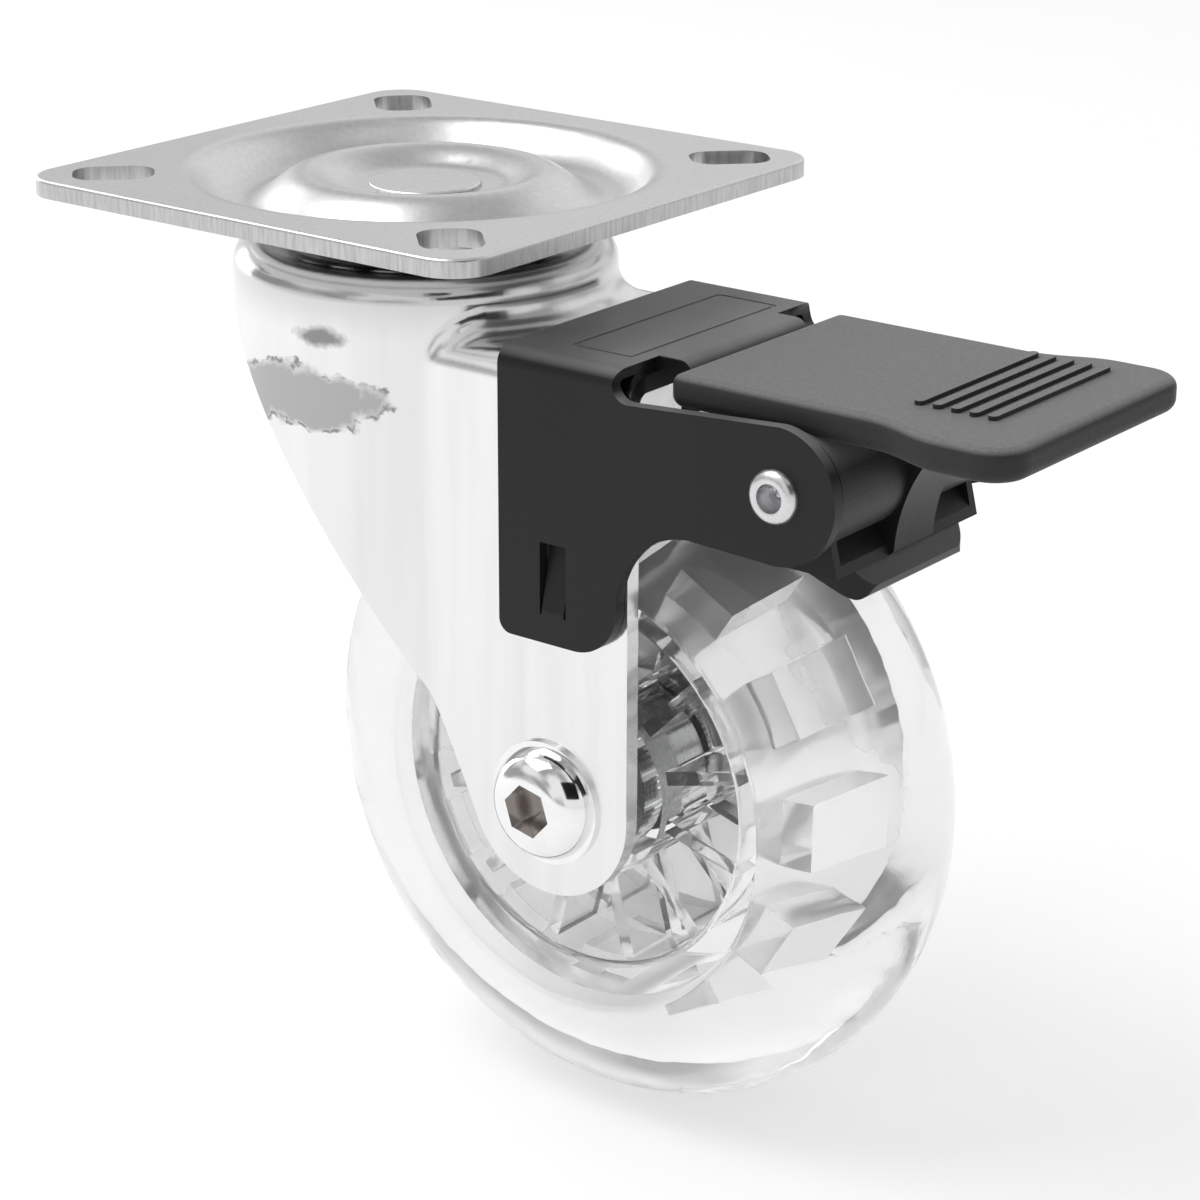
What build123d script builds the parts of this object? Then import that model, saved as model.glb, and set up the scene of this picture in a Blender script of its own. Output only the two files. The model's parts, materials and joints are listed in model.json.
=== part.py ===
from build123d import *
from math import cos, radians, sin, sqrt
import os

# Swivel plate caster with a clear 75 mm wheel and a toe-press brake pedal.
# Frame: the origin is the centre of the mounting plate's top face, on the swivel axis.
# +Z is up, +X points the way the wheel trails (and the pedal sticks out), Y is the wheel axle.
# Lengths are millimetres.

os.makedirs("parts", exist_ok=True)

# ---- driving dimensions -------------------------------------------------------------------

# Mounting plate
plate_size = 60.0
plate_t = 1.9
plate_corner = 4.5
slot_pitch = 46.0            # slot to slot, along X and along Y
slot_length = 8.5
slot_width = 6.4
slot_corner = 2.4
dish_r = 25.8                # rim of the pressed dish
groove_r = 19.0              # lowest ring of the dish
groove_z = -3.5
crest_r = 12.6               # raised ring, whose hollow side is the upper ball race
crest_z = -0.3
seat_r = 7.4                 # flat that the kingpin head sits on
seat_z = -2.1

# Swivel bearing and kingpin
kingpin_r = 4.0
kingpin_head_r = 6.0
kingpin_head_t = 0.5
kingpin_shoulder_r = 5.6
kingpin_tail_t = 1.5
upper_ball_r = 2.0
upper_ball_count = 16
lower_ball_r = 1.6
lower_ball_ring_r = 10.5
lower_ball_z = -8.5
lower_ball_count = 17
race_play = 0.05             # air between a ball and its groove
cup_r = 13.4
cup_top_z = -9.6
cup_t = 1.5
cup_lip_t = 1.2              # upturned edge of the cup
cup_lip_h = 1.6

# Fork, pressed from sheet
sheet_t = 1.8
crown_r = 20.5
crown_top_z = -7.0           # outer land of the crown
crown_race_z = -5.3          # raised middle of the crown, which carries both races
crown_shoulder_r = 2.9
crown_step_r0 = 14.6          # the raised middle ends here
crown_step_r1 = 16.3          # and its slope meets the outer land here
crown_step_in = 0.8           # the same step on the hollow side, further in
crown_bore_r = 6.2
web_top_z = -13.1            # flat channel roof behind the crown
leg_y = 15.6                 # outer face of each leg
bend_r = 3.0                 # outer radius where the roof turns into a leg
blend_r = 3.0                # where the round drum and crown run into the channel
tail_x = 39.0                # trailing edge of the legs
eye_r = 10.3                 # rounded foot of a leg, about the axle
fork_floor_z = -75.0         # lower end of the raw form, below the legs
front_cut_x = -14.6          # where the front sweep leaves the roof
front_cut_mid = (4.3, -36.8) # halfway point of the sweep
eye_tangent = (-8.9, -5.2)   # where it meets the rounded foot, from the axle

# Wheel and axle
axle_x = 28.7
axle_z = -60.0
wheel_r = 37.5
tyre_half = 12.5
shoulder_r = 24.8            # radius where the tyre's sidewall starts to round over
rim_r = 23.4
rim_inner_r = 19.8
rim_half = 9.8
web_half = 1.4               # half thickness of the hub's middle disc
boss_r = 10.2
boss_half = 9.4
rib_count = 12
rib_t = 1.5
rib_half = 8.2
key_count = 12               # blocks on the rim that lock into the tyre
key_out_r = 26.2
key_width = 7.0
key_half = 5.0
root = 1.0                   # how far ribs and keys run into what carries them
tyre_lip = 0.5               # slope of the tyre's edge beside the rim
moulding_gap = 0.04          # between the hub and the tyre cast on it
bearing_bore_r = 4.0
bearing_out_r = 8.0
bearing_w = 5.0
bearing_land_in = 5.25       # outside of the inner ring
bearing_land_out = 6.75      # inside of the outer ring
bearing_ball_r = 1.0
bearing_ball_count = 9
bearing_pitch_r = (bearing_land_in + bearing_land_out) / 2
bearing_play = 0.03
shield_t = 0.3
shield_gap = 0.15            # between a shield and the inner ring
shield_inset = 0.5           # how far a shield sits inside the bearing's face
sleeve_out_r = 5.2
hub_bore_r = 6.0             # hole through the boss, between the bearings
bolt_head_r = 6.1            # foot of the dome
bolt_flange_r = 6.7
bolt_flange_t = 0.5
bolt_head_t = 3.4
bolt_face_r = 3.3            # flat round the socket's mouth
bolt_dome_r = 4.9            # a point on the head's dome
bolt_dome_drop = 0.75        # and how far that is below the flat
bolt_chamfer = 0.5
hex_af = 5.0                 # socket across flats
hex_depth = 2.6
hex_turn = 12.0              # how the bolt happens to be turned
nut_af = 13.0
nut_t = 6.4
nut_collar_t = 1.8
nut_chamfer = 0.6
collar_lip = 0.4             # the collar turns in over the insert
collar_lip_t = 0.5
insert_out_r = 5.0
washer_r = 8.0
washer_t = 1.4
bolt_end_y = 26.0

# Brake bracket, folded from black sheet over the fork's tail
bracket_t = 1.35
bracket_in_y = leg_y + 0.05
bracket_y = bracket_in_y + bracket_t
bracket_top_z = web_top_z + bracket_t
bracket_x0 = 23.7
bracket_low_z = -41.9
notch_x = 38.6
bracket_bend_r = 2.0
tongue_half = 10.0
tongue_x = 42.6
tongue_fold_r = 1.75
tongue_low_z = -17.0
arm_r = 6.9                  # rounded end of an arm, about the pedal pivot
cheek_low_x = 33.2           # the lower edge of a cheek is straight to here
cheek_back = (38.6, -35.8)   # trailing edge of the cheek, below the arm
arm_foot = (47.3, -27.2)     # where the arm's lower edge becomes straight
arm_neck = (40.0, -15.0)     # where its upper edge meets the notch
panel_x = 33.2               # middle of the shallow pressed panel
panel_length = 25.0
panel_width = 7.6
panel_line = 0.4             # width of its pressed outline
panel_depth = 0.1
lance_x0 = 29.0
lance_x1 = 32.3
lance_top_z = -31.2
lance_tab_z = -32.0          # upper end of the pressed-in tab
lance_low_z = -38.9
lance_lean = 1.5             # how far a tab is pushed in
lance_side_gap = 0.25

# Pedal
pivot_x = 57.3
pivot_z = -20.7
rivet_r = 2.0
rivet_hole_r = 1.45
rivet_flange_r = 2.75
rivet_flange_t = 0.9
rivet_play = 0.06
pedal_x0 = 43.0
pedal_x1 = 82.4
pedal_top_z = -11.8
pedal_t = 3.4
pedal_top_round = 1.1
pedal_low_round = 1.3
pedal_toe_corner = 4.0
pedal_heel_corner = 1.2
tread_root = 0.8             # how far the block runs up into the tread plate
pedal_half = 14.6            # between the arms
pedal_wide = 17.0            # at the toe
flare_x0 = 65.5
flare_x1 = 75.0
ridge_count = 5
ridge_pitch = 2.0
ridge_x = 67.5
ridge_width = 1.0
ridge_y = 2.0                # the ridges sit a little to one side
ridge_length = 21.5
ridge_h = 0.45
ridge_root = 0.2
hub_r = 6.2
hub_half = 14.6
cheek_half = 12.6            # outer faces of the cam block's side cheeks
cheek_t = 1.0
block_low_z = -29.3
block_heel_x = 52.6
cheek_front = [(61.7, block_low_z), (60.7, -25.2)]
bay_wall_x = 60.2            # front wall, set back between the cheeks
bay_groove = [(60.2, -24.0), (58.8, -25.4), (61.9, -28.7)]
cam_rib_half = 3.5           # rib down the middle of the block's front
rib_foot = (62.2, -28.8)
rib_waist = (63.1, -24.0)
rib_head = (70.4, pedal_top_z - pedal_t + tread_root)
shoe_half = 9.8
shoe_heel = (54.6, -29.8)
shoe_toe = (62.2, -32.5)
shoe_lip = (62.9, -31.0)
shoe_front = (61.5, block_low_z)
shoe_round = 0.9
shoe_corner_r = 3.0          # front corners, seen from above


def side(x, z):
    """A point of a side view, as (X, Z) from the wheel's axle."""
    return (axle_x + x, axle_z + z)


def about_pivot(radius, angle):
    """A point at a radius from the pedal pivot, angle from straight down towards +X."""
    a = radians(angle)
    return (pivot_x + radius * sin(a), pivot_z - radius * cos(a))


def finish(piece, name):
    """Label a finished piece and write its file."""
    piece.label = name
    export_step(piece, f"parts/{name}.step")


# ---- mounting plate -----------------------------------------------------------------------

dish_curve = [
    (dish_r, 0.0),
    ((dish_r + groove_r) / 2 + 0.2, 0.58 * groove_z),
    (groove_r, groove_z),
    ((groove_r + crest_r) / 2, (groove_z + crest_z) / 2 + 0.2),
    (crest_r, crest_z),
    ((crest_r + seat_r) / 2 - 0.2, (crest_z + seat_z) / 2 - 0.1),
    (seat_r, seat_z),
]

with BuildPart() as mounting_plate:
    with BuildSketch(Plane.XY.offset(-plate_t)):
        RectangleRounded(plate_size, plate_size, plate_corner)
        Circle(dish_r, mode=Mode.SUBTRACT)
    extrude(amount=plate_t)
    with BuildSketch(Plane.XZ) as dish_section:
        with BuildLine():
            top = Spline(*dish_curve, tangents=[(-1, 0), (-1, 0)])
            low = Spline(*[(r, z - plate_t) for r, z in dish_curve], tangents=[(-1, 0), (-1, 0)])
            Polyline(top @ 1, (kingpin_r, seat_z), (kingpin_r, seat_z - plate_t), low @ 1)
            Line(top @ 0, low @ 0)
        make_face()
    revolve(axis=Axis.Z)
    rim_edges = mounting_plate.edges().filter_by(GeomType.LINE)
    top_rim = [e for e in rim_edges if abs(e.center().Z) < 0.01]
    fillet(top_rim, 0.35)
    for quarter in range(4):
        turn = 45 + 90 * quarter
        reach = slot_pitch / sqrt(2)
        with BuildSketch(Plane.XY.offset(-plate_t)):
            with PolarLocations(reach, 1, start_angle=turn):
                RectangleRounded(slot_length, slot_width, slot_corner)
        extrude(amount=plate_t, mode=Mode.SUBTRACT)
finish(mounting_plate.part, "mounting_plate")

# ---- kingpin, races and balls -------------------------------------------------------------

plate_under_z = seat_z - plate_t
cup_low_z = cup_top_z - cup_t
head_top_z = seat_z + kingpin_head_t
tail_z = cup_low_z - kingpin_tail_t
tail_r = kingpin_head_r - 0.2

with BuildPart() as kingpin:
    with BuildSketch(Plane.XZ) as pin_section:
        with BuildLine():
            Polyline(
                (0, head_top_z),
                (kingpin_head_r, head_top_z),
                (kingpin_head_r, seat_z),
                (kingpin_r, seat_z),
                (kingpin_r, plate_under_z),
                (kingpin_shoulder_r, plate_under_z),
                (kingpin_shoulder_r, cup_top_z),
                (kingpin_r, cup_top_z),
                (kingpin_r, cup_low_z),
                (tail_r, cup_low_z),
                (tail_r, tail_z),
                (0, tail_z),
                close=True,
            )
        make_face()
    revolve(axis=Axis.Z)
    head_edges = kingpin.edges().filter_by(GeomType.CIRCLE)
    fillet(head_edges.sort_by(Axis.Z)[-1], 0.3)
    fillet(head_edges.sort_by(Axis.Z)[0], 0.9)
finish(kingpin.part, "kingpin")

with BuildPart() as lower_race_cup:
    with BuildSketch(Plane.XZ):
        with BuildLine():
            Polyline(
                (kingpin_r, cup_top_z),
                (cup_r - cup_lip_t, cup_top_z),
                (cup_r - cup_lip_t, cup_top_z + cup_lip_h),
                (cup_r, cup_top_z + cup_lip_h),
                (cup_r, cup_low_z),
                (kingpin_r, cup_low_z),
                close=True,
            )
        make_face()
        with Locations((lower_ball_ring_r, lower_ball_z)):
            Circle(lower_ball_r + race_play, mode=Mode.SUBTRACT)
    revolve(axis=Axis.Z)
    fillet(lower_race_cup.edges().filter_by(GeomType.CIRCLE).sort_by(Axis.Z)[0:2], 0.5)
finish(lower_race_cup.part, "lower_race_cup")

upper_ball_z = crest_z - plate_t - upper_ball_r - race_play

with BuildPart() as upper_balls:
    with Locations((0, 0, upper_ball_z)):
        with PolarLocations(crest_r, upper_ball_count):
            Sphere(upper_ball_r)
finish(upper_balls.part, "upper_balls")

with BuildPart() as lower_balls:
    with Locations((0, 0, lower_ball_z)):
        with PolarLocations(lower_ball_ring_r, lower_ball_count):
            Sphere(lower_ball_r)
finish(lower_balls.part, "lower_balls")

# ---- fork ---------------------------------------------------------------------------------

leg_in_y = leg_y - sheet_t
junction_x = sqrt(crown_r**2 - leg_y**2)
web_low_z = web_top_z - sheet_t
lance_mid_x = (lance_x0 + lance_x1) / 2


def near_x(part_edges, x):
    """Upright edges at a given X."""
    return [e for e in part_edges.filter_by(Axis.Z) if abs(e.center().X - x) < 0.2]


with BuildPart() as fork:
    # Channel: roof and both legs, solid for now
    with BuildSketch(Plane.YZ) as channel:
        with BuildLine():
            Polyline(
                (-leg_y, fork_floor_z),
                (leg_y, fork_floor_z),
                (leg_y, web_top_z),
                (-leg_y, web_top_z),
                close=True,
            )
        make_face()
        fillet(channel.vertices().group_by(Axis.Y)[-1], bend_r)
    extrude(amount=tail_x)
    # Round drum of the crown, carried down to the feet
    with BuildSketch(Plane.XY.offset(fork_floor_z)):
        Circle(crown_r)
    extrude(amount=web_top_z - fork_floor_z)
    # Crown
    with BuildSketch(Plane.XZ):
        with BuildLine():
            land = crown_r - crown_shoulder_r
            Polyline(
                (0, web_low_z),
                (0, crown_race_z),
                (crown_step_r0, crown_race_z),
                (crown_step_r1, crown_top_z),
                (land, crown_top_z),
            )
            RadiusArc((land, crown_top_z), (crown_r, crown_top_z - crown_shoulder_r), crown_shoulder_r)
            Polyline(
                (crown_r, crown_top_z - crown_shoulder_r),
                (crown_r, web_low_z),
                (0, web_low_z),
            )
        make_face()
    revolve(axis=Axis.Z)
    # One hollow radius runs up each side, where drum meets leg, and round the crown's foot
    fillet(near_x(fork.edges(), junction_x), blend_r)
    # Hollow of the channel, open at the tail
    with BuildSketch(Plane.YZ) as hollow:
        with BuildLine():
            Polyline(
                (-leg_in_y, fork_floor_z),
                (leg_in_y, fork_floor_z),
                (leg_in_y, web_low_z),
                (-leg_in_y, web_low_z),
                close=True,
            )
        make_face()
        fillet(hollow.vertices().group_by(Axis.Y)[-1], bend_r - sheet_t)
    extrude(amount=tail_x, mode=Mode.SUBTRACT)
    # Hollow of the drum and crown
    with BuildSketch(Plane.XZ):
        with BuildLine():
            inner_r = crown_r - sheet_t
            inner_shoulder = crown_shoulder_r - sheet_t
            under = crown_top_z - sheet_t
            Polyline(
                (0, fork_floor_z),
                (0, crown_race_z - sheet_t),
                (crown_step_r0 - crown_step_in, crown_race_z - sheet_t),
                (crown_step_r1 - crown_step_in, under),
                (inner_r - inner_shoulder, under),
            )
            RadiusArc((inner_r - inner_shoulder, under), (inner_r, under - inner_shoulder), inner_shoulder)
            Polyline((inner_r, under - inner_shoulder), (inner_r, fork_floor_z), (0, fork_floor_z))
        make_face()
    revolve(axis=Axis.Z, mode=Mode.SUBTRACT)
    # Side view: the front is cut back in one long sweep to the axle eyes
    with BuildSketch(Plane.XZ):
        with BuildLine():
            foot = side(*eye_tangent)
            sweep_top = (front_cut_x, web_top_z)
            Polyline((-crown_r - 1, 0), (-crown_r - 1, web_top_z), sweep_top)
            ThreePointArc(sweep_top, front_cut_mid, foot)
            ThreePointArc(foot, side(0, -eye_r), side(eye_r, 0))
            Polyline(side(eye_r, 0), (tail_x, 0), (-crown_r - 1, 0))
        make_face()
    extrude(amount=crown_r + 1, both=True, mode=Mode.INTERSECT)
    # Ball grooves in the crown, and the hole that the kingpin passes
    with BuildSketch(Plane.XZ):
        with Locations((crest_r, upper_ball_z)):
            Circle(upper_ball_r + race_play)
        with Locations((lower_ball_ring_r, lower_ball_z)):
            Circle(lower_ball_r + race_play)
    revolve(axis=Axis.Z, mode=Mode.SUBTRACT)
    with BuildSketch(Plane.XY):
        Circle(crown_bore_r)
    extrude(amount=web_top_z, mode=Mode.SUBTRACT)
    # Axle holes, and the slots that the bracket's tabs hook into
    with BuildSketch(Plane.XZ):
        with Locations(side(0, 0)):
            Circle(bearing_bore_r)
        with Locations((lance_mid_x + lance_side_gap, (lance_top_z + lance_low_z) / 2)):
            Rectangle(lance_x1 - lance_x0 + 0.3, lance_top_z - lance_low_z - 0.4)
    extrude(amount=crown_r + 1, both=True, mode=Mode.SUBTRACT)
finish(fork.part, "fork")

# ---- axle ---------------------------------------------------------------------------------

# The axle runs along Y; these sections are drawn as (radius, Y) and turned about the axle.
axle = Plane(origin=(axle_x, 0, axle_z), x_dir=(1, 0, 0), z_dir=(0, 0, 1))
axle_axis = Axis((axle_x, 0, axle_z), (0, 1, 0))

with BuildPart() as axle_bolt:
    with BuildSketch(axle):
        with BuildLine():
            base = -leg_y
            flange = base - bolt_flange_t
            crown_y = base - bolt_head_t
            Polyline(
                (0, crown_y),
                (0, bolt_end_y),
                (bearing_bore_r - bolt_chamfer, bolt_end_y),
                (bearing_bore_r, bolt_end_y - bolt_chamfer),
                (bearing_bore_r, base),
                (bolt_flange_r, base),
                (bolt_flange_r, flange),
                (bolt_head_r, flange),
            )
            ThreePointArc(
                (bolt_head_r, flange),
                (bolt_dome_r, crown_y + bolt_dome_drop),
                (bolt_face_r, crown_y),
            )
            Line((bolt_face_r, crown_y), (0, crown_y))
        make_face()
    revolve(axis=axle_axis)
    socket_plane = Plane(origin=(axle_x, crown_y, axle_z), x_dir=(1, 0, 0), z_dir=(0, 1, 0))
    with BuildSketch(socket_plane):
        RegularPolygon(hex_af / 2, 6, major_radius=False, rotation=hex_turn)
    extrude(amount=hex_depth, mode=Mode.SUBTRACT)
finish(axle_bolt.part, "axle_bolt")

with BuildPart() as nut_washer:
    with BuildSketch(axle):
        with Locations(((washer_r + bearing_bore_r) / 2, leg_y + washer_t / 2)):
            Rectangle(washer_r - bearing_bore_r, washer_t)
    revolve(axis=axle_axis)
finish(nut_washer.part, "nut_washer")

nut_y0 = leg_y + washer_t
nut_y1 = nut_y0 + nut_t
nut_corner_r = nut_af / sqrt(3)
collar_y = nut_y1 + nut_collar_t
insert_y0 = nut_y1 - nut_chamfer
insert_y1 = collar_y - collar_lip_t

with BuildPart() as axle_nut:
    nut_plane = Plane(origin=(axle_x, nut_y0, axle_z), x_dir=(1, 0, 0), z_dir=(0, 1, 0))
    with BuildSketch(nut_plane):
        RegularPolygon(nut_af / 2, 6, major_radius=False)
    extrude(amount=nut_t)
    # Chamfered corners and the round collar that grips the insert
    with BuildSketch(axle):
        with BuildLine():
            Polyline(
                (bearing_bore_r, nut_y0),
                (nut_af / 2, nut_y0),
                (nut_corner_r, nut_y0 + nut_chamfer),
                (nut_corner_r, insert_y0),
                (nut_af / 2, nut_y1),
                (nut_af / 2 - nut_chamfer, collar_y),
                (insert_out_r - collar_lip, collar_y),
                (insert_out_r - collar_lip, insert_y1),
                (insert_out_r, insert_y1),
                (insert_out_r, insert_y0),
                (bearing_bore_r, insert_y0),
                close=True,
            )
        make_face()
    revolve(axis=axle_axis, mode=Mode.INTERSECT)
    with BuildSketch(axle):
        with BuildLine():
            Polyline(
                (insert_out_r, insert_y0),
                (nut_af / 2 - 0.1, insert_y0),
                (nut_af / 2 - nut_chamfer, collar_y),
                (insert_out_r - collar_lip, collar_y),
                (insert_out_r - collar_lip, insert_y1),
                (insert_out_r, insert_y1),
                close=True,
            )
        make_face()
    revolve(axis=axle_axis)
finish(axle_nut.part, "axle_nut")

with BuildPart() as nut_insert:
    with BuildSketch(axle):
        with Locations(((insert_out_r + bearing_bore_r) / 2, (insert_y0 + insert_y1) / 2)):
            Rectangle(insert_out_r - bearing_bore_r, insert_y1 - insert_y0)
    revolve(axis=axle_axis)
finish(nut_insert.part, "nut_insert")

bearing_out_y = boss_half
bearing_in_y = bearing_out_y - bearing_w

with BuildPart() as axle_sleeve:
    with BuildSketch(axle):
        with Locations(((sleeve_out_r + bearing_bore_r) / 2, 0)):
            Rectangle(sleeve_out_r - bearing_bore_r, 2 * bearing_in_y)
    revolve(axis=axle_axis)
finish(axle_sleeve.part, "axle_sleeve")

with BuildPart() as axle_spacers:
    with BuildSketch(axle):
        for way in (-1, 1):
            with Locations(((sleeve_out_r + bearing_bore_r) / 2, way * (leg_in_y + bearing_out_y) / 2)):
                Rectangle(sleeve_out_r - bearing_bore_r, leg_in_y - bearing_out_y)
    revolve(axis=axle_axis)
finish(axle_spacers.part, "axle_spacers")

# ---- wheel bearings -----------------------------------------------------------------------

bearing_mid_y = (bearing_out_y + bearing_in_y) / 2


def ring_section(inner, outer):
    """Both rings of one kind, as rectangles in (radius, Y), with the ball grooves cut."""
    for way in (-1, 1):
        with Locations(((inner + outer) / 2, way * bearing_mid_y)):
            Rectangle(outer - inner, bearing_w)
        with Locations((bearing_pitch_r, way * bearing_mid_y)):
            Circle(bearing_ball_r + bearing_play, mode=Mode.SUBTRACT)


with BuildPart() as bearing_inner_rings:
    with BuildSketch(axle):
        ring_section(bearing_bore_r, bearing_land_in)
    revolve(axis=axle_axis)
finish(bearing_inner_rings.part, "bearing_inner_rings")

with BuildPart() as bearing_outer_rings:
    with BuildSketch(axle):
        ring_section(bearing_land_out, bearing_out_r)
    revolve(axis=axle_axis)
finish(bearing_outer_rings.part, "bearing_outer_rings")

with BuildPart() as bearing_balls:
    for way in (-1, 1):
        for k in range(bearing_ball_count):
            a = radians(360 / bearing_ball_count * k)
            spot = (axle_x + bearing_pitch_r * cos(a), way * bearing_mid_y, axle_z + bearing_pitch_r * sin(a))
            with Locations(spot):
                Sphere(bearing_ball_r)
finish(bearing_balls.part, "bearing_balls")

with BuildPart() as bearing_shields:
    with BuildSketch(axle):
        for way in (-1, 1):
            shield_in = bearing_land_in + shield_gap
            with Locations(((shield_in + bearing_land_out) / 2, way * (bearing_out_y - shield_inset))):
                Rectangle(bearing_land_out - shield_in, shield_t)
    revolve(axis=axle_axis)
finish(bearing_shields.part, "bearing_shields")

# ---- wheel --------------------------------------------------------------------------------

wheel_plane = Plane(origin=(axle_x, 0, axle_z), x_dir=(1, 0, 0), z_dir=(0, -1, 0))

with BuildPart() as wheel_hub:
    with BuildSketch(axle):
        # boss, middle disc and rim
        with Locations(((boss_r + hub_bore_r) / 2, 0)):
            Rectangle(boss_r - hub_bore_r, 2 * boss_half)
        with Locations(((rim_inner_r + boss_r) / 2, 0)):
            Rectangle(rim_inner_r - boss_r + 2 * root, 2 * web_half)
        with Locations(((rim_r + rim_inner_r) / 2, 0)):
            Rectangle(rim_r - rim_inner_r, 2 * rim_half)
        for way in (-1, 1):
            with Locations(((bearing_out_r + sleeve_out_r) / 2, way * (bearing_in_y + bearing_out_y) / 2)):
                Rectangle(bearing_out_r - sleeve_out_r, bearing_w, mode=Mode.SUBTRACT)
    revolve(axis=axle_axis)
    # Radial ribs on both faces of the disc
    with BuildSketch(wheel_plane):
        with PolarLocations((boss_r + rim_inner_r) / 2, rib_count, start_angle=180 / rib_count):
            Rectangle(rim_inner_r - boss_r + root, rib_t)
    extrude(amount=rib_half, both=True)
    # Keys on the rim
    with BuildSketch(wheel_plane):
        with PolarLocations((rim_r + key_out_r - root) / 2, key_count):
            Rectangle(key_out_r - rim_r + root, key_width)
    extrude(amount=key_half, both=True)
    # Outer edges of the rim
    rim_edges = [
        e for e in wheel_hub.edges().filter_by(GeomType.CIRCLE)
        if abs(abs(e.center().Y) - rim_half) < 0.01 and abs(e.radius - rim_inner_r) < 0.01
    ]
    fillet(rim_edges, 0.7)
finish(wheel_hub.part, "wheel_hub")

with BuildPart() as tyre:
    with BuildSketch(axle):
        with BuildLine():
            seat = rim_r + moulding_gap
            seat_half = rim_half + 0.2
            Line((seat, -seat_half), (seat, seat_half))
            for way in (-1, 1):
                lip_start = (seat + tyre_lip, way * (tyre_half - 0.6))
                Line((seat, way * seat_half), lip_start)
                ThreePointArc(
                    lip_start,
                    (seat + 1.5 * tyre_lip, way * (tyre_half - 0.15)),
                    (shoulder_r, way * tyre_half),
                )
            EllipticalCenterArc(
                (shoulder_r, 0),
                wheel_r - shoulder_r,
                tyre_half,
                start_angle=-90,
                arc_size=180,
            )
        make_face()
    revolve(axis=axle_axis)
    # Pockets that the rim's keys fill
    with BuildSketch(wheel_plane):
        with PolarLocations((rim_r + key_out_r - root) / 2, key_count):
            Rectangle(key_out_r - rim_r + root + 2 * moulding_gap, key_width + 2 * moulding_gap)
    extrude(amount=key_half + moulding_gap, both=True, mode=Mode.SUBTRACT)
finish(tyre.part, "tyre")

# ---- brake bracket ------------------------------------------------------------------------

with BuildPart() as brake_bracket:
    # Side view of a cheek and its arm
    with BuildSketch(Plane.XZ) as cheek:
        with BuildLine():
            arm_under = about_pivot(arm_r, -8)
            arm_over = about_pivot(arm_r, 176)
            low_end = (cheek_low_x, bracket_low_z)
            Polyline((bracket_x0, bracket_top_z), (bracket_x0, bracket_low_z), low_end)
            ThreePointArc(low_end, (37.2, -40.2), cheek_back)
            ThreePointArc(cheek_back, (41.4, -29.8), arm_foot)
            Line(arm_foot, arm_under)
            ThreePointArc(arm_under, about_pivot(arm_r, 90), arm_over)
            Line(arm_over, arm_neck)
            ThreePointArc(arm_neck, (38.0, -13.5), (notch_x, bracket_top_z))
            Line((notch_x, bracket_top_z), (bracket_x0, bracket_top_z))
        make_face()
        low_corner = cheek.vertices().sort_by_distance((bracket_x0, bracket_low_z))[0]
        fillet(low_corner, 1.5)
    extrude(amount=bracket_y, both=True)
    with BuildSketch(Plane.YZ.offset(bracket_x0 - 1)) as gap:
        with BuildLine():
            Polyline(
                (-bracket_in_y, bracket_low_z - 1),
                (bracket_in_y, bracket_low_z - 1),
                (bracket_in_y, web_top_z),
                (-bracket_in_y, web_top_z),
                close=True,
            )
        make_face()
        fillet(gap.vertices().group_by(Axis.Y)[-1], bracket_bend_r - bracket_t)
    extrude(amount=pivot_x, mode=Mode.SUBTRACT)
    top_edges = [
        e for e in brake_bracket.edges().filter_by(Axis.X)
        if abs(e.center().Z - bracket_top_z) < 0.01 and abs(abs(e.center().Y) - bracket_y) < 0.01
    ]
    fillet(top_edges, bracket_bend_r)
    # Tongue of the roof, folded down behind the pedal
    with BuildSketch(Plane.XZ):
        with BuildLine():
            fold = tongue_fold_r
            low = web_top_z
            Polyline(
                (notch_x - 3, bracket_top_z),
                (tongue_x - fold, bracket_top_z),
            )
            RadiusArc((tongue_x - fold, bracket_top_z), (tongue_x, bracket_top_z - fold), fold)
            Polyline(
                (tongue_x, bracket_top_z - fold),
                (tongue_x, tongue_low_z),
                (tongue_x - bracket_t, tongue_low_z),
                (tongue_x - bracket_t, bracket_top_z - fold),
            )
            inner_fold = (tongue_x - bracket_t, bracket_top_z - fold)
            RadiusArc(inner_fold, (tongue_x - fold, low), -(fold - bracket_t))
            Polyline((tongue_x - fold, low), (notch_x - 3, low), (notch_x - 3, bracket_top_z))
        make_face()
    extrude(amount=tongue_half, both=True)
    # Shallow pressed panel on the roof
    with BuildSketch(Plane.XY.offset(bracket_top_z)):
        with Locations((panel_x, 0)):
            RectangleRounded(panel_width, panel_length, 0.6)
            inner = (panel_width - 2 * panel_line, panel_length - 2 * panel_line)
            RectangleRounded(*inner, 0.4, mode=Mode.SUBTRACT)
    extrude(amount=-panel_depth, mode=Mode.SUBTRACT)
    # Pivot holes and the lanced windows
    with BuildSketch(Plane.XZ):
        with Locations((pivot_x, pivot_z)):
            Circle(rivet_r)
        with Locations((lance_mid_x, (lance_top_z + lance_low_z) / 2)):
            Rectangle(lance_x1 - lance_x0, lance_top_z - lance_low_z)
    extrude(amount=bracket_y + 1, both=True, mode=Mode.SUBTRACT)
    # Tabs left by the lancing, pushed in through the fork's slots
    for way in (-1, 1):
        with BuildSketch(Plane.YZ.offset(lance_x0 + lance_side_gap)):
            with BuildLine():
                Polyline(
                    (way * bracket_y, lance_low_z - 0.2),
                    (way * bracket_in_y, lance_low_z - 0.2),
                    (way * bracket_in_y, lance_low_z + 0.7),
                    (way * (bracket_in_y - lance_lean), lance_tab_z),
                    (way * (bracket_y - lance_lean), lance_tab_z + 0.5),
                    (way * bracket_y, lance_low_z + 0.5),
                    close=True,
                )
            make_face()
        extrude(amount=lance_x1 - lance_x0 - 2 * lance_side_gap)
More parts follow.
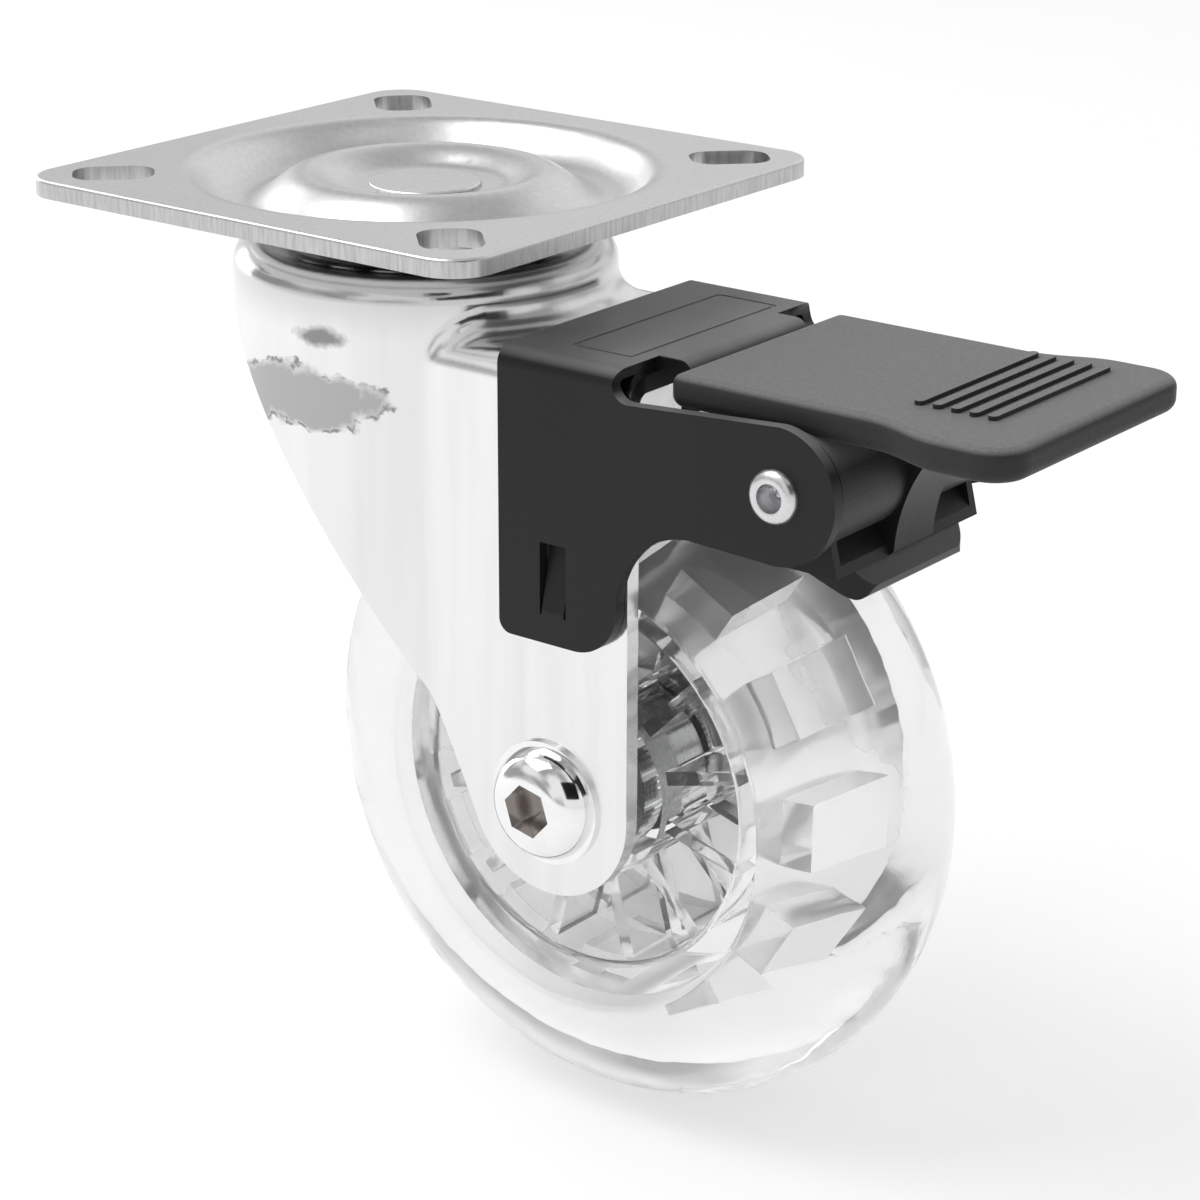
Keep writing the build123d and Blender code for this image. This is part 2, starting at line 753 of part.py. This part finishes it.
finish(brake_bracket.part, "brake_bracket")

# ---- pedal pivot --------------------------------------------------------------------------

pivot_plane = Plane(origin=(pivot_x, 0, pivot_z), x_dir=(1, 0, 0), z_dir=(0, 0, 1))
pivot_axis = Axis((pivot_x, 0, pivot_z), (0, 1, 0))

with BuildPart() as pivot_rivet:
    with BuildSketch(pivot_plane) as rivet_section:
        with BuildLine():
            face = bracket_y
            proud = bracket_y + rivet_flange_t
            Line((rivet_hole_r, -proud), (rivet_hole_r, proud))
            for way in (-1, 1):
                ThreePointArc(
                    (rivet_hole_r, way * proud),
                    (rivet_flange_r - 0.35, way * (proud - 0.2)),
                    (rivet_flange_r, way * face),
                )
                Line((rivet_flange_r, way * face), (rivet_r, way * face))
            Line((rivet_r, -face), (rivet_r, face))
        make_face()
    revolve(axis=pivot_axis)
finish(pivot_rivet.part, "pivot_rivet")

with BuildPart() as rivet_core:
    with BuildSketch(pivot_plane):
        with BuildLine():
            Polyline(
                (0, -bracket_y + 0.4),
                (0.55, -bracket_y + 0.9),
                (rivet_hole_r, -bracket_y + 1.2),
                (rivet_hole_r, bracket_y - 1.0),
                (0, bracket_y - 1.0),
                close=True,
            )
        make_face()
    revolve(axis=pivot_axis)
finish(rivet_core.part, "rivet_core")

# ---- brake pedal --------------------------------------------------------------------------

pedal_low_z = pedal_top_z - pedal_t
block_top_z = pedal_low_z + tread_root

with BuildPart() as brake_pedal:
    # Tread plate, wider at the toe
    with BuildSketch(Plane.XY.offset(pedal_low_z)) as tread:
        with BuildLine():
            for way in (-1, 1):
                Line((pedal_x0, 0), (pedal_x0, way * pedal_half))
                Line((pedal_x0, way * pedal_half), (flare_x0, way * pedal_half))
                Spline(
                    (flare_x0, way * pedal_half),
                    (flare_x1, way * pedal_wide),
                    tangents=[(1, 0), (1, 0)],
                )
                Line((flare_x1, way * pedal_wide), (pedal_x1, way * pedal_wide))
                Line((pedal_x1, way * pedal_wide), (pedal_x1, 0))
        make_face()
        fillet(tread.vertices().group_by(Axis.X)[-1], pedal_toe_corner)
        fillet(tread.vertices().group_by(Axis.X)[0], pedal_heel_corner)
    extrude(amount=pedal_t)
    fillet(brake_pedal.faces().sort_by(Axis.Z)[-1].edges(), pedal_top_round)
    fillet(brake_pedal.faces().sort_by(Axis.Z)[0].edges(), pedal_low_round)
    # Grip ridges
    for k in range(ridge_count):
        with BuildSketch(Plane.XY.offset(pedal_top_z - ridge_root)):
            with Locations((ridge_x + k * ridge_pitch, ridge_y)):
                SlotOverall(ridge_length, ridge_width, rotation=90)
        extrude(amount=ridge_h + ridge_root)
    # Cam block under the plate, down to the shoe
    with BuildSketch(Plane.XZ):
        with BuildLine():
            Polyline(
                (block_heel_x, block_top_z),
                (bay_wall_x, block_top_z),
                (bay_wall_x, cheek_front[1][1]),
                *reversed(cheek_front),
                (block_heel_x, block_low_z),
                close=True,
            )
        make_face()
    extrude(amount=cheek_half, both=True)
    # Its front is hollowed between the cheeks, with a groove across
    with BuildSketch(Plane.XZ):
        with BuildLine():
            Polyline(
                *bay_groove,
                (bay_groove[2][0] + 1, bay_groove[2][1]),
                (bay_groove[2][0] + 1, bay_groove[0][1]),
                close=True,
            )
        make_face()
    extrude(amount=cheek_half - cheek_t, both=True, mode=Mode.SUBTRACT)
    # Rib down the middle, its front curving in from the foot and out again to the tread
    with BuildSketch(Plane.XZ):
        with BuildLine():
            ThreePointArc(rib_foot, rib_waist, rib_head)
            Polyline(
                rib_head,
                (pivot_x, block_top_z),
                (pivot_x, block_low_z),
                (cheek_front[0][0], block_low_z),
                rib_foot,
            )
        make_face()
    extrude(amount=cam_rib_half, both=True)
    # Hub, bored for the rivet
    with BuildSketch(Plane.XZ):
        with Locations((pivot_x, pivot_z)):
            Circle(hub_r)
    extrude(amount=hub_half, both=True)
    with BuildSketch(Plane.XZ):
        with Locations((pivot_x, pivot_z)):
            Circle(rivet_r + rivet_play)
    extrude(amount=hub_half, both=True, mode=Mode.SUBTRACT)
finish(brake_pedal.part, "brake_pedal")

# ---- brake shoe ---------------------------------------------------------------------------

with BuildPart() as brake_shoe:
    with BuildSketch(Plane.XZ) as shoe_section:
        with BuildLine():
            Polyline(
                (shoe_heel[0] - 1.0, block_low_z),
                shoe_heel,
                shoe_toe,
                shoe_lip,
                shoe_front,
                close=True,
            )
        make_face()
        fillet(shoe_section.vertices().sort_by_distance(shoe_toe)[0], shoe_round)
    extrude(amount=shoe_half, both=True)
    # Front corners rounded in plan
    shoe_reach = 2 * (shoe_lip[0] - shoe_heel[0])
    with BuildSketch(Plane.XY.offset(shoe_toe[1] - 1)):
        with Locations((shoe_lip[0] - shoe_reach / 2, 0)):
            RectangleRounded(shoe_reach, 2 * shoe_half, shoe_corner_r)
    extrude(amount=block_low_z - shoe_toe[1] + 2, mode=Mode.INTERSECT)
finish(brake_shoe.part, "brake_shoe")
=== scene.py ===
import json
import math

import bpy
from mathutils import Matrix, Vector

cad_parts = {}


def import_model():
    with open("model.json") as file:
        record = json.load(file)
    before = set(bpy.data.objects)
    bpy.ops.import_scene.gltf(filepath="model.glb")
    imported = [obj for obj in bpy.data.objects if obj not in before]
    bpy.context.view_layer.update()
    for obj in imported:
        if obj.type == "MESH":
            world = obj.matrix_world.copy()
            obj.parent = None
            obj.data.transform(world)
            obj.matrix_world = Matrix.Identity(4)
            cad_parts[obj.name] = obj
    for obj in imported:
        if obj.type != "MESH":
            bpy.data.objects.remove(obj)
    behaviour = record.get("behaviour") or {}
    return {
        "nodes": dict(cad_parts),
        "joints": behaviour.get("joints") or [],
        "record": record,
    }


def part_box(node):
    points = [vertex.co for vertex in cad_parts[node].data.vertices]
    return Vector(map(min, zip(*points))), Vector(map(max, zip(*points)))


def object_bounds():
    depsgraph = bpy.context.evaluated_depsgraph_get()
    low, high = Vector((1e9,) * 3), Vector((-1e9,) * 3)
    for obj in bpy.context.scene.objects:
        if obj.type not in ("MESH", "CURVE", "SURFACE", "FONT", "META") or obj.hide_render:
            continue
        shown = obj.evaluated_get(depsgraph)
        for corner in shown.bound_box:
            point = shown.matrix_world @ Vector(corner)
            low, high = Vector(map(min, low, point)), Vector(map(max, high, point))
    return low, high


# Swivel plate caster with a clear wheel and a black brake pedal. Lengths are metres, and the
# frame is the part's own: origin on the swivel axis at the plate's top face, +Z up, +X the way
# the wheel trails, Y along the axle.

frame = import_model()
cad_low, cad_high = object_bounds()

joints = {j["name"]: j for j in frame["joints"]}
AXLE = Vector(joints["wheel_spin"]["pos_m"])
FLOOR_Z = cad_low.z
BRACKET_TOP_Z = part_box("brake_bracket")[1].z

RIM_R = 0.0233              # just inside the hub's rim, where it meets the tyre
KEY_TIP_R = 0.0266          # just outside the keys that lock hub and tyre together
PANEL_DEPTH = 0.00012       # of the panel pressed in the bracket's top, and a little more
BLOCK_TOP_Z = -0.0165       # where the pedal's cam block begins, and where it is full
BLOCK_FULL_Z = -0.0205
CROWN_FOOT_Z = -0.0145      # where the fork's crown starts to round over, and its rim
CROWN_RIM_Z = -0.0085

scene = bpy.context.scene
scene.view_settings.view_transform = "Standard"


# ---- node helpers --------------------------------------------------------------------------

def grey(value):
    return (value, value, value)


class Look:
    """A procedural material: one Principled shader and the nodes that feed it."""

    def __init__(self, name, **values):
        self.material = bpy.data.materials.new(name)
        self.material.use_nodes = True
        self.tree = self.material.node_tree
        self.shader = self.tree.nodes["Principled BSDF"]
        for socket, value in values.items():
            self.shader.inputs[socket.replace("_", " ")].default_value = value

    def node(self, kind, settings=None, **values):
        made = self.tree.nodes.new("ShaderNode" + kind)
        for key, value in (settings or {}).items():
            setattr(made, key, value)
        for socket, value in values.items():
            self.feed(made.inputs[socket.replace("_", " ")], value)
        return made

    def feed(self, socket, value):
        """Links a socket to an output, or sets its value."""
        if isinstance(value, bpy.types.NodeSocket):
            self.tree.links.new(value, socket)
        else:
            socket.default_value = value

    def place(self, scale=(1, 1, 1), turn=(0, 0, 0), shift=(0, 0, 0)):
        """Object coordinates, shifted, turned and scaled."""
        spot = self.node("TexCoord").outputs["Object"]
        return self.node(
            "Mapping", Vector=spot, Location=shift, Rotation=turn, Scale=scale,
        ).outputs[0]

    def noise(self, where, scale, detail=3.0, roughness=0.55, distortion=0.0):
        return self.node(
            "TexNoise", Vector=where, Scale=scale, Detail=detail,
            Roughness=roughness, Distortion=distortion,
        ).outputs["Fac"]

    def ramp(self, factor, *stops):
        """Maps a factor to greys, each stop being (place, value)."""
        made = self.node("ValToRGB", Fac=factor)
        ramp = made.color_ramp
        while len(ramp.elements) < len(stops):
            ramp.elements.new(0.5)
        for element, (place, value) in zip(ramp.elements, stops):
            element.position = place
            element.color = (*grey(value), 1)
        return made.outputs["Color"]

    def mix(self, factor, a, b, blend="MIX"):
        made = self.node("Mix", {"data_type": "RGBA", "blend_type": blend})
        self.feed(made.inputs[0], factor)
        for socket, value in ((made.inputs[6], a), (made.inputs[7], b)):
            is_colour = isinstance(value, tuple) and len(value) == 3
            self.feed(socket, (*value, 1) if is_colour else value)
        return made.outputs[2]

    def sum(self, a, b, operation="ADD"):
        made = self.node("Math", {"operation": operation})
        self.feed(made.inputs[0], a)
        self.feed(made.inputs[1], b)
        return made.outputs[0]

    def facing_z(self):
        """How much the surface looks up: 1 up, 0 sideways, -1 down."""
        normal = self.node("NewGeometry").outputs["Normal"]
        return self.node("SeparateXYZ", Vector=normal).outputs["Z"]

    def upward(self):
        """1 on faces that look up, 0 on upright ones and undersides."""
        return self.ramp(self.facing_z(), (0.45, 0.0), (0.85, 1.0))

    def height(self):
        return self.node("SeparateXYZ", Vector=self.place()).outputs["Z"]

    def climb(self, start, end):
        """Goes smoothly from 0 at the start height to 1 at the end height."""
        return self.node(
            "MapRange", {"interpolation_type": "SMOOTHSTEP"}, Value=self.height(),
            **{"From Min": start, "From Max": end},
        ).outputs["Result"]

    def blob(self, centre, size, wobble=0.0, wobble_scale=300.0, soft=0.35):
        """1 inside a rough-edged ellipsoid, falling to 0 at its edge."""
        shift = tuple(-c / s for c, s in zip(centre, size))
        where = self.place(tuple(1 / s for s in size), shift=shift)
        far = self.node("VectorMath", {"operation": "LENGTH"}, Vector=where).outputs["Value"]
        if wobble:
            rough = self.noise(self.place(), wobble_scale, 4.0)
            far = self.sum(far, self.sum(self.sum(rough, 0.5, "SUBTRACT"), wobble, "MULTIPLY"))
        return self.ramp(far, (1 - soft, 1.0), (1.0, 0.0))

    def bump(self, height, distance, strength=1.0, under=None):
        made = self.node("Bump", Height=height, Distance=distance, Strength=strength)
        if under is not None:
            self.feed(made.inputs["Normal"], under)
        return made.outputs["Normal"]

    def colour(self, value):
        self.feed(self.shader.inputs["Base Color"], value)

    def roughness(self, value):
        self.feed(self.shader.inputs["Roughness"], value)

    def normal(self, value):
        self.feed(self.shader.inputs["Normal"], value)


# ---- materials -----------------------------------------------------------------------------

def zinc_plate():
    """Bright satin zinc: a sandy press finish, with upright shear marks on the edges."""
    look = Look("zinc_plate_look", Metallic=1.0)
    sand = look.noise(look.place(), 1500.0, 4.0, 0.7)
    cloud = look.noise(look.place(), 55.0, 4.0)
    streaks = look.noise(look.place((1, 1, 0.10)), 2600.0, 3.0)
    flat = look.ramp(look.sum(look.facing_z(), 0.0, "ABSOLUTE"), (0.25, 0.0), (0.6, 1.0))
    face = look.mix(cloud, grey(0.70), grey(0.78))
    sanded = look.mix(look.ramp(sand, (0.35, 0.9), (0.65, 1.0)), grey(0.0), face)
    sheared = look.ramp(streaks, (0.34, 0.44), (0.5, 0.52), (0.66, 0.58))
    look.colour(look.mix(flat, sheared, sanded))
    look.roughness(look.ramp(cloud, (0.3, 0.30), (0.7, 0.38)))
    relief = look.mix(flat, streaks, sand)
    look.normal(look.bump(relief, 0.00003, 0.45))
    return look.material


def fork_zinc():
    """Bright zinc with soft upright draw marks, a rubbed patch, and painted shade under the
    crown: a spot at its foot and a darkening towards the plate.
    """
    look = Look("fork_zinc_look", Metallic=1.0)
    draws = look.noise(look.place((1, 1, 0.06)), 260.0, 3.0)
    cloud = look.noise(look.place(), 45.0, 3.0)
    grain = look.noise(look.place((1, 1, 0.3)), 1600.0, 3.0)
    tone = look.mix(look.ramp(draws, (0.3, 0.0), (0.7, 1.0)), grey(0.74), grey(0.81))
    scuff_at, scuff_size = (0.0, -0.0165, -0.0205), (0.0105, 0.008, 0.0042)
    crown_shade_at, crown_shade_size = (0.003, -0.0185, -0.0138), (0.0035, 0.006, 0.0014)
    scuff = look.blob(scuff_at, scuff_size, 0.9, 260.0, 0.2)
    # Painted shade: a dark spot where the crown's lip meets the web, standing in for the shadow
    # there
    crown_shade_spot = look.blob(crown_shade_at, crown_shade_size, 0.9, 700.0, 0.5)
    # The patch's outline is dark in places
    outline = look.ramp(scuff, (0.1, 0.0), (0.3, 1.0), (0.5, 1.0), (0.7, 0.0))
    gaps = look.ramp(look.noise(look.place(), 600.0, 4.0), (0.45, 0.0), (0.55, 1.0))
    # dark holds the patch's dark outline and the painted shade spot under the crown's lip
    dark = look.sum(look.sum(outline, gaps, "MULTIPLY"), crown_shade_spot, "MAXIMUM")
    # Painted shade: the crown darkens towards the plate, standing in for the plate's shadow
    tone = look.mix(look.climb(CROWN_FOOT_Z, CROWN_RIM_Z), tone, grey(0.60))
    tone = look.mix(scuff, tone, grey(0.40))
    look.colour(look.mix(dark, tone, grey(0.28)))
    shine = look.ramp(cloud, (0.3, 0.13), (0.7, 0.24))
    look.roughness(look.sum(shine, look.sum(dark, 0.15, "MULTIPLY")))
    waves = look.bump(draws, 0.0002, 0.25)
    look.normal(look.bump(grain, 0.00001, 0.3, waves))
    return look.material


def black_steel():
    """Satin black coating with a faint orange peel, and painted light making the top paler."""
    look = Look("black_steel_look", Specular_IOR_Level=0.24)
    peel = look.noise(look.place(), 900.0, 2.0)
    cloud = look.noise(look.place(), 70.0, 4.0)
    bare = look.mix(cloud, (0.006, 0.006, 0.007), (0.014, 0.014, 0.015))
    # Painted light: the top panel and faces that look up get a paler colour, standing in for
    # light on the top
    on_top = look.sum(look.height(), BRACKET_TOP_Z - PANEL_DEPTH, "GREATER_THAN")
    painted_top_light = look.sum(look.upward(), on_top, "MAXIMUM")
    look.colour(look.mix(painted_top_light, bare, look.ramp(cloud, (0.35, 0.11), (0.65, 0.17))))
    look.roughness(look.ramp(cloud, (0.3, 0.34), (0.7, 0.46)))
    look.normal(look.bump(peel, 0.00003, 0.35))
    return look.material


def black_nylon():
    """Moulded nylon: spark-textured, paler on top with painted light, smooth on the cam block
    and darkened there with painted shade.
    """
    look = Look(
        "black_nylon_look", Specular_IOR_Level=0.2, Sheen_Weight=0.12, Sheen_Roughness=0.35,
    )
    grit = look.noise(look.place(), 2600.0, 5.0, 0.75)
    cloud = look.noise(look.place(), 60.0, 4.0)
    bare = look.mix(cloud, (0.020, 0.020, 0.021), (0.032, 0.032, 0.033))
    # Painted light: faces that look up are paler, standing in for light grazing the top
    painted_top_light = look.mix(look.upward(), bare, look.ramp(grit, (0.3, 0.12), (0.7, 0.20)))
    # Painted shade: the cam block below is darkened, and also made smoother
    block = look.climb(BLOCK_TOP_Z, BLOCK_FULL_Z)
    look.colour(look.mix(block, painted_top_light, grey(0.008)))
    look.roughness(look.mix(block, look.ramp(grit, (0.3, 0.50), (0.7, 0.66)), grey(0.36)))
    look.normal(look.bump(grit, 0.00006, 0.7))
    return look.material


def chromed_fastener():
    """Bright plating, with painted shade in the axle bolt's hex socket."""
    look = Look("chromed_fastener_look", Metallic=1.0)
    wear = look.noise(look.place(), 500.0, 4.0)
    plated = look.mix(wear, (0.78, 0.78, 0.785), (0.90, 0.90, 0.905))
    # Painted shade: a dark blob at the hex socket stands in for its shaded hollow
    socket_shade_at, socket_shade_size = (AXLE.x, -0.0163, AXLE.z), (0.0035, 0.0022, 0.0035)
    socket = look.blob(socket_shade_at, socket_shade_size, soft=0.25)
    look.colour(look.mix(socket, plated, (0.30, 0.27, 0.25)))
    look.roughness(look.ramp(wear, (0.35, 0.05), (0.75, 0.13)))
    look.normal(look.bump(wear, 0.00002, 0.15))
    return look.material


def bearing_steel():
    """Ground steel, with fine turned bands across the axle."""
    look = Look("bearing_steel_look", Metallic=1.0)
    lathe = look.noise(look.place((1, 8, 1)), 400.0, 3.0)
    look.colour(look.mix(lathe, (0.50, 0.51, 0.52), (0.68, 0.69, 0.70)))
    look.roughness(look.ramp(lathe, (0.3, 0.16), (0.7, 0.30)))
    look.normal(look.bump(lathe, 0.00001, 0.2))
    return look.material


def rivet_aluminium():
    """Bright soft metal, dented where it was set."""
    look = Look("rivet_aluminium_look", Metallic=1.0)
    dents = look.noise(look.place(), 700.0, 3.0)
    look.colour(look.mix(dents, (0.56, 0.56, 0.57), (0.74, 0.74, 0.75)))
    look.roughness(look.ramp(dents, (0.3, 0.22), (0.7, 0.36)))
    look.normal(look.bump(dents, 0.00008, 0.35))
    return look.material


def white_nylon():
    """Waxy white moulding."""
    look = Look("white_nylon_look", Subsurface_Weight=0.1)
    cloud = look.noise(look.place(), 400.0, 3.0)
    look.colour(look.mix(cloud, (0.74, 0.75, 0.74), (0.86, 0.87, 0.85)))
    look.roughness(look.ramp(cloud, (0.3, 0.38), (0.7, 0.5)))
    look.normal(look.bump(cloud, 0.00003, 0.2))
    return look.material


def clear(name, index, tint, waviness, joint_r, joint_side):
    """Pale clear moulding with a faintly uneven surface, matt where tyre and hub meet.

    The matt part is farther from the axle than joint_r, or nearer, as joint_side compares.
    """
    look = Look(name, Transmission_Weight=0.9, IOR=index)
    flow = look.noise(look.place(), 120.0, 2.0)
    skin = look.noise(look.place(), 900.0, 2.0)
    look.colour(look.mix(flow, grey(tint), grey(1.0)))
    polish = look.ramp(skin, (0.4, 0.0), (0.75, 0.03))
    from_axle = look.place((1, 0, 1), shift=(-AXLE.x, 0, -AXLE.z))
    radius = look.node("VectorMath", {"operation": "LENGTH"}, Vector=from_axle).outputs["Value"]
    matt = look.sum(radius, joint_r, joint_side)
    look.roughness(look.mix(matt, polish, grey(0.14)))
    look.normal(look.bump(flow, waviness, 0.5))
    return look.material


LOOKS = {
    "zinc_plate": zinc_plate(),
    "fork_zinc": fork_zinc(),
    "black_steel": black_steel(),
    "black_nylon": black_nylon(),
    "chromed_fastener": chromed_fastener(),
    "bearing_steel": bearing_steel(),
    "rivet_aluminium": rivet_aluminium(),
    "white_nylon": white_nylon(),
    "clear_hub": clear("clear_hub_look", 1.38, 0.97, 0.0001, RIM_R, "GREATER_THAN"),
    "clear_tyre": clear("clear_tyre_look", 1.30, 0.87, 0.0003, KEY_TIP_R, "LESS_THAN"),
}

for part in frame["record"]["subparts"]:
    node = frame["nodes"].get(part["node"])
    if node is not None:
        slot = part["material_slot"]
        node.data.materials.clear()
        node.data.materials.append(LOOKS[slot])


# ---- stage ---------------------------------------------------------------------------------

def sheet(name, half_x, half_y, z=0.0):
    """A flat rectangle in the stage, facing up."""
    mesh = bpy.data.meshes.new(name)
    corners = [(-half_x, -half_y), (half_x, -half_y), (half_x, half_y), (-half_x, half_y)]
    mesh.from_pydata([(x, y, z) for x, y in corners], [], [(0, 1, 2, 3)])
    made = bpy.data.objects.new(name, mesh)
    scene.collection.objects.link(made)
    return made


def floor():
    """Pale paper that glows a little, so that it stays white round the object."""
    half_side = 4.0
    made = sheet("floor", half_side, half_side, FLOOR_Z)
    look = Look("floor_look", Roughness=0.9, Specular_IOR_Level=0.2, Emission_Strength=0.52)
    look.shader.inputs["Emission Color"].default_value = (1, 1, 1, 1)
    paper = look.noise(look.place(), 40.0, 3.0)
    look.colour(look.mix(paper, grey(0.50), grey(0.53)))
    made.data.materials.append(look.material)


def card():
    """A dark card over the viewer, out of sight, that the domed fasteners pick up."""
    half_x, half_y, distance = 0.22, 0.16, 0.55
    towards = Vector((0.78, -0.37, 0.50))
    made = sheet("card", half_x, half_y)
    made.location = AXLE + towards * distance
    made.rotation_mode = "QUATERNION"
    made.rotation_quaternion = (-towards).to_track_quat("Z", "Y")
    made.visible_camera = False
    made.visible_shadow = False
    made.visible_diffuse = False
    look = Look("card_look", Roughness=1.0, Specular_IOR_Level=0.0)
    look.colour((*grey(0.01), 1))
    made.data.materials.append(look.material)


def world():
    """A white studio with softly darker stretches, which metal and clear plastic pick up."""
    made = bpy.data.worlds.new("studio")
    scene.world = made
    made.use_nodes = True
    tree = made.node_tree
    spot = tree.nodes.new("ShaderNodeTexCoord").outputs["Generated"]
    cloud = tree.nodes.new("ShaderNodeTexNoise")
    cloud.inputs["Scale"].default_value = 1.6
    cloud.inputs["Detail"].default_value = 1.0
    tree.links.new(spot, cloud.inputs["Vector"])
    ramp = tree.nodes.new("ShaderNodeValToRGB")
    tree.links.new(cloud.outputs["Fac"], ramp.inputs["Fac"])
    dark, light = ramp.color_ramp.elements
    dark.position, dark.color = 0.38, (*grey(0.40), 1)
    light.position, light.color = 0.56, (*grey(0.92), 1)
    tree.links.new(ramp.outputs["Color"], tree.nodes["Background"].inputs["Color"])


def softbox(name, place, target, size, watts):
    light = bpy.data.lights.new(name, "AREA")
    light.shape = "RECTANGLE"
    light.size, light.size_y = size
    light.energy = watts
    made = bpy.data.objects.new(name, light)
    made.location = place
    made.rotation_mode = "QUATERNION"
    made.rotation_quaternion = (Vector(target) - Vector(place)).to_track_quat("-Z", "Y")
    scene.collection.objects.link(made)


def camera():
    """Looks down at the axle bolt's side, past the pedal, from about a third of a metre."""
    azimuth, elevation, roll = (math.radians(x) for x in (37.72, 20.05, 0.15))
    aim = Vector((0.015, 0, -0.050))
    across, over, away = 0.00674, 0.00429, 0.36077
    back = Vector((
        math.sin(azimuth) * math.cos(elevation),
        -math.cos(azimuth) * math.cos(elevation),
        math.sin(elevation),
    ))
    level = Vector((math.cos(azimuth), math.sin(azimuth), 0))
    upright = back.cross(level)
    right = level * math.cos(roll) + upright * math.sin(roll)
    up = upright * math.cos(roll) - level * math.sin(roll)
    data = bpy.data.cameras.new("camera")
    data.sensor_width = 36.0
    data.lens = 100.23
    data.clip_start = 0.01
    made = bpy.data.objects.new("camera", data)
    turn = Matrix((right, up, back)).transposed()
    place = aim + right * across + up * over + back * away
    made.matrix_world = Matrix.LocRotScale(place, turn, None)
    scene.collection.objects.link(made)
    scene.camera = made


camera()
floor()
world()
card()
middle = (cad_low + cad_high) / 2
softbox("key", middle + Vector((-0.35, -0.30, 0.75)), middle, (0.6, 0.6), 4.2)
softbox("side", middle + Vector((-0.80, 0.10, 0.20)), middle, (0.4, 0.7), 1.6)
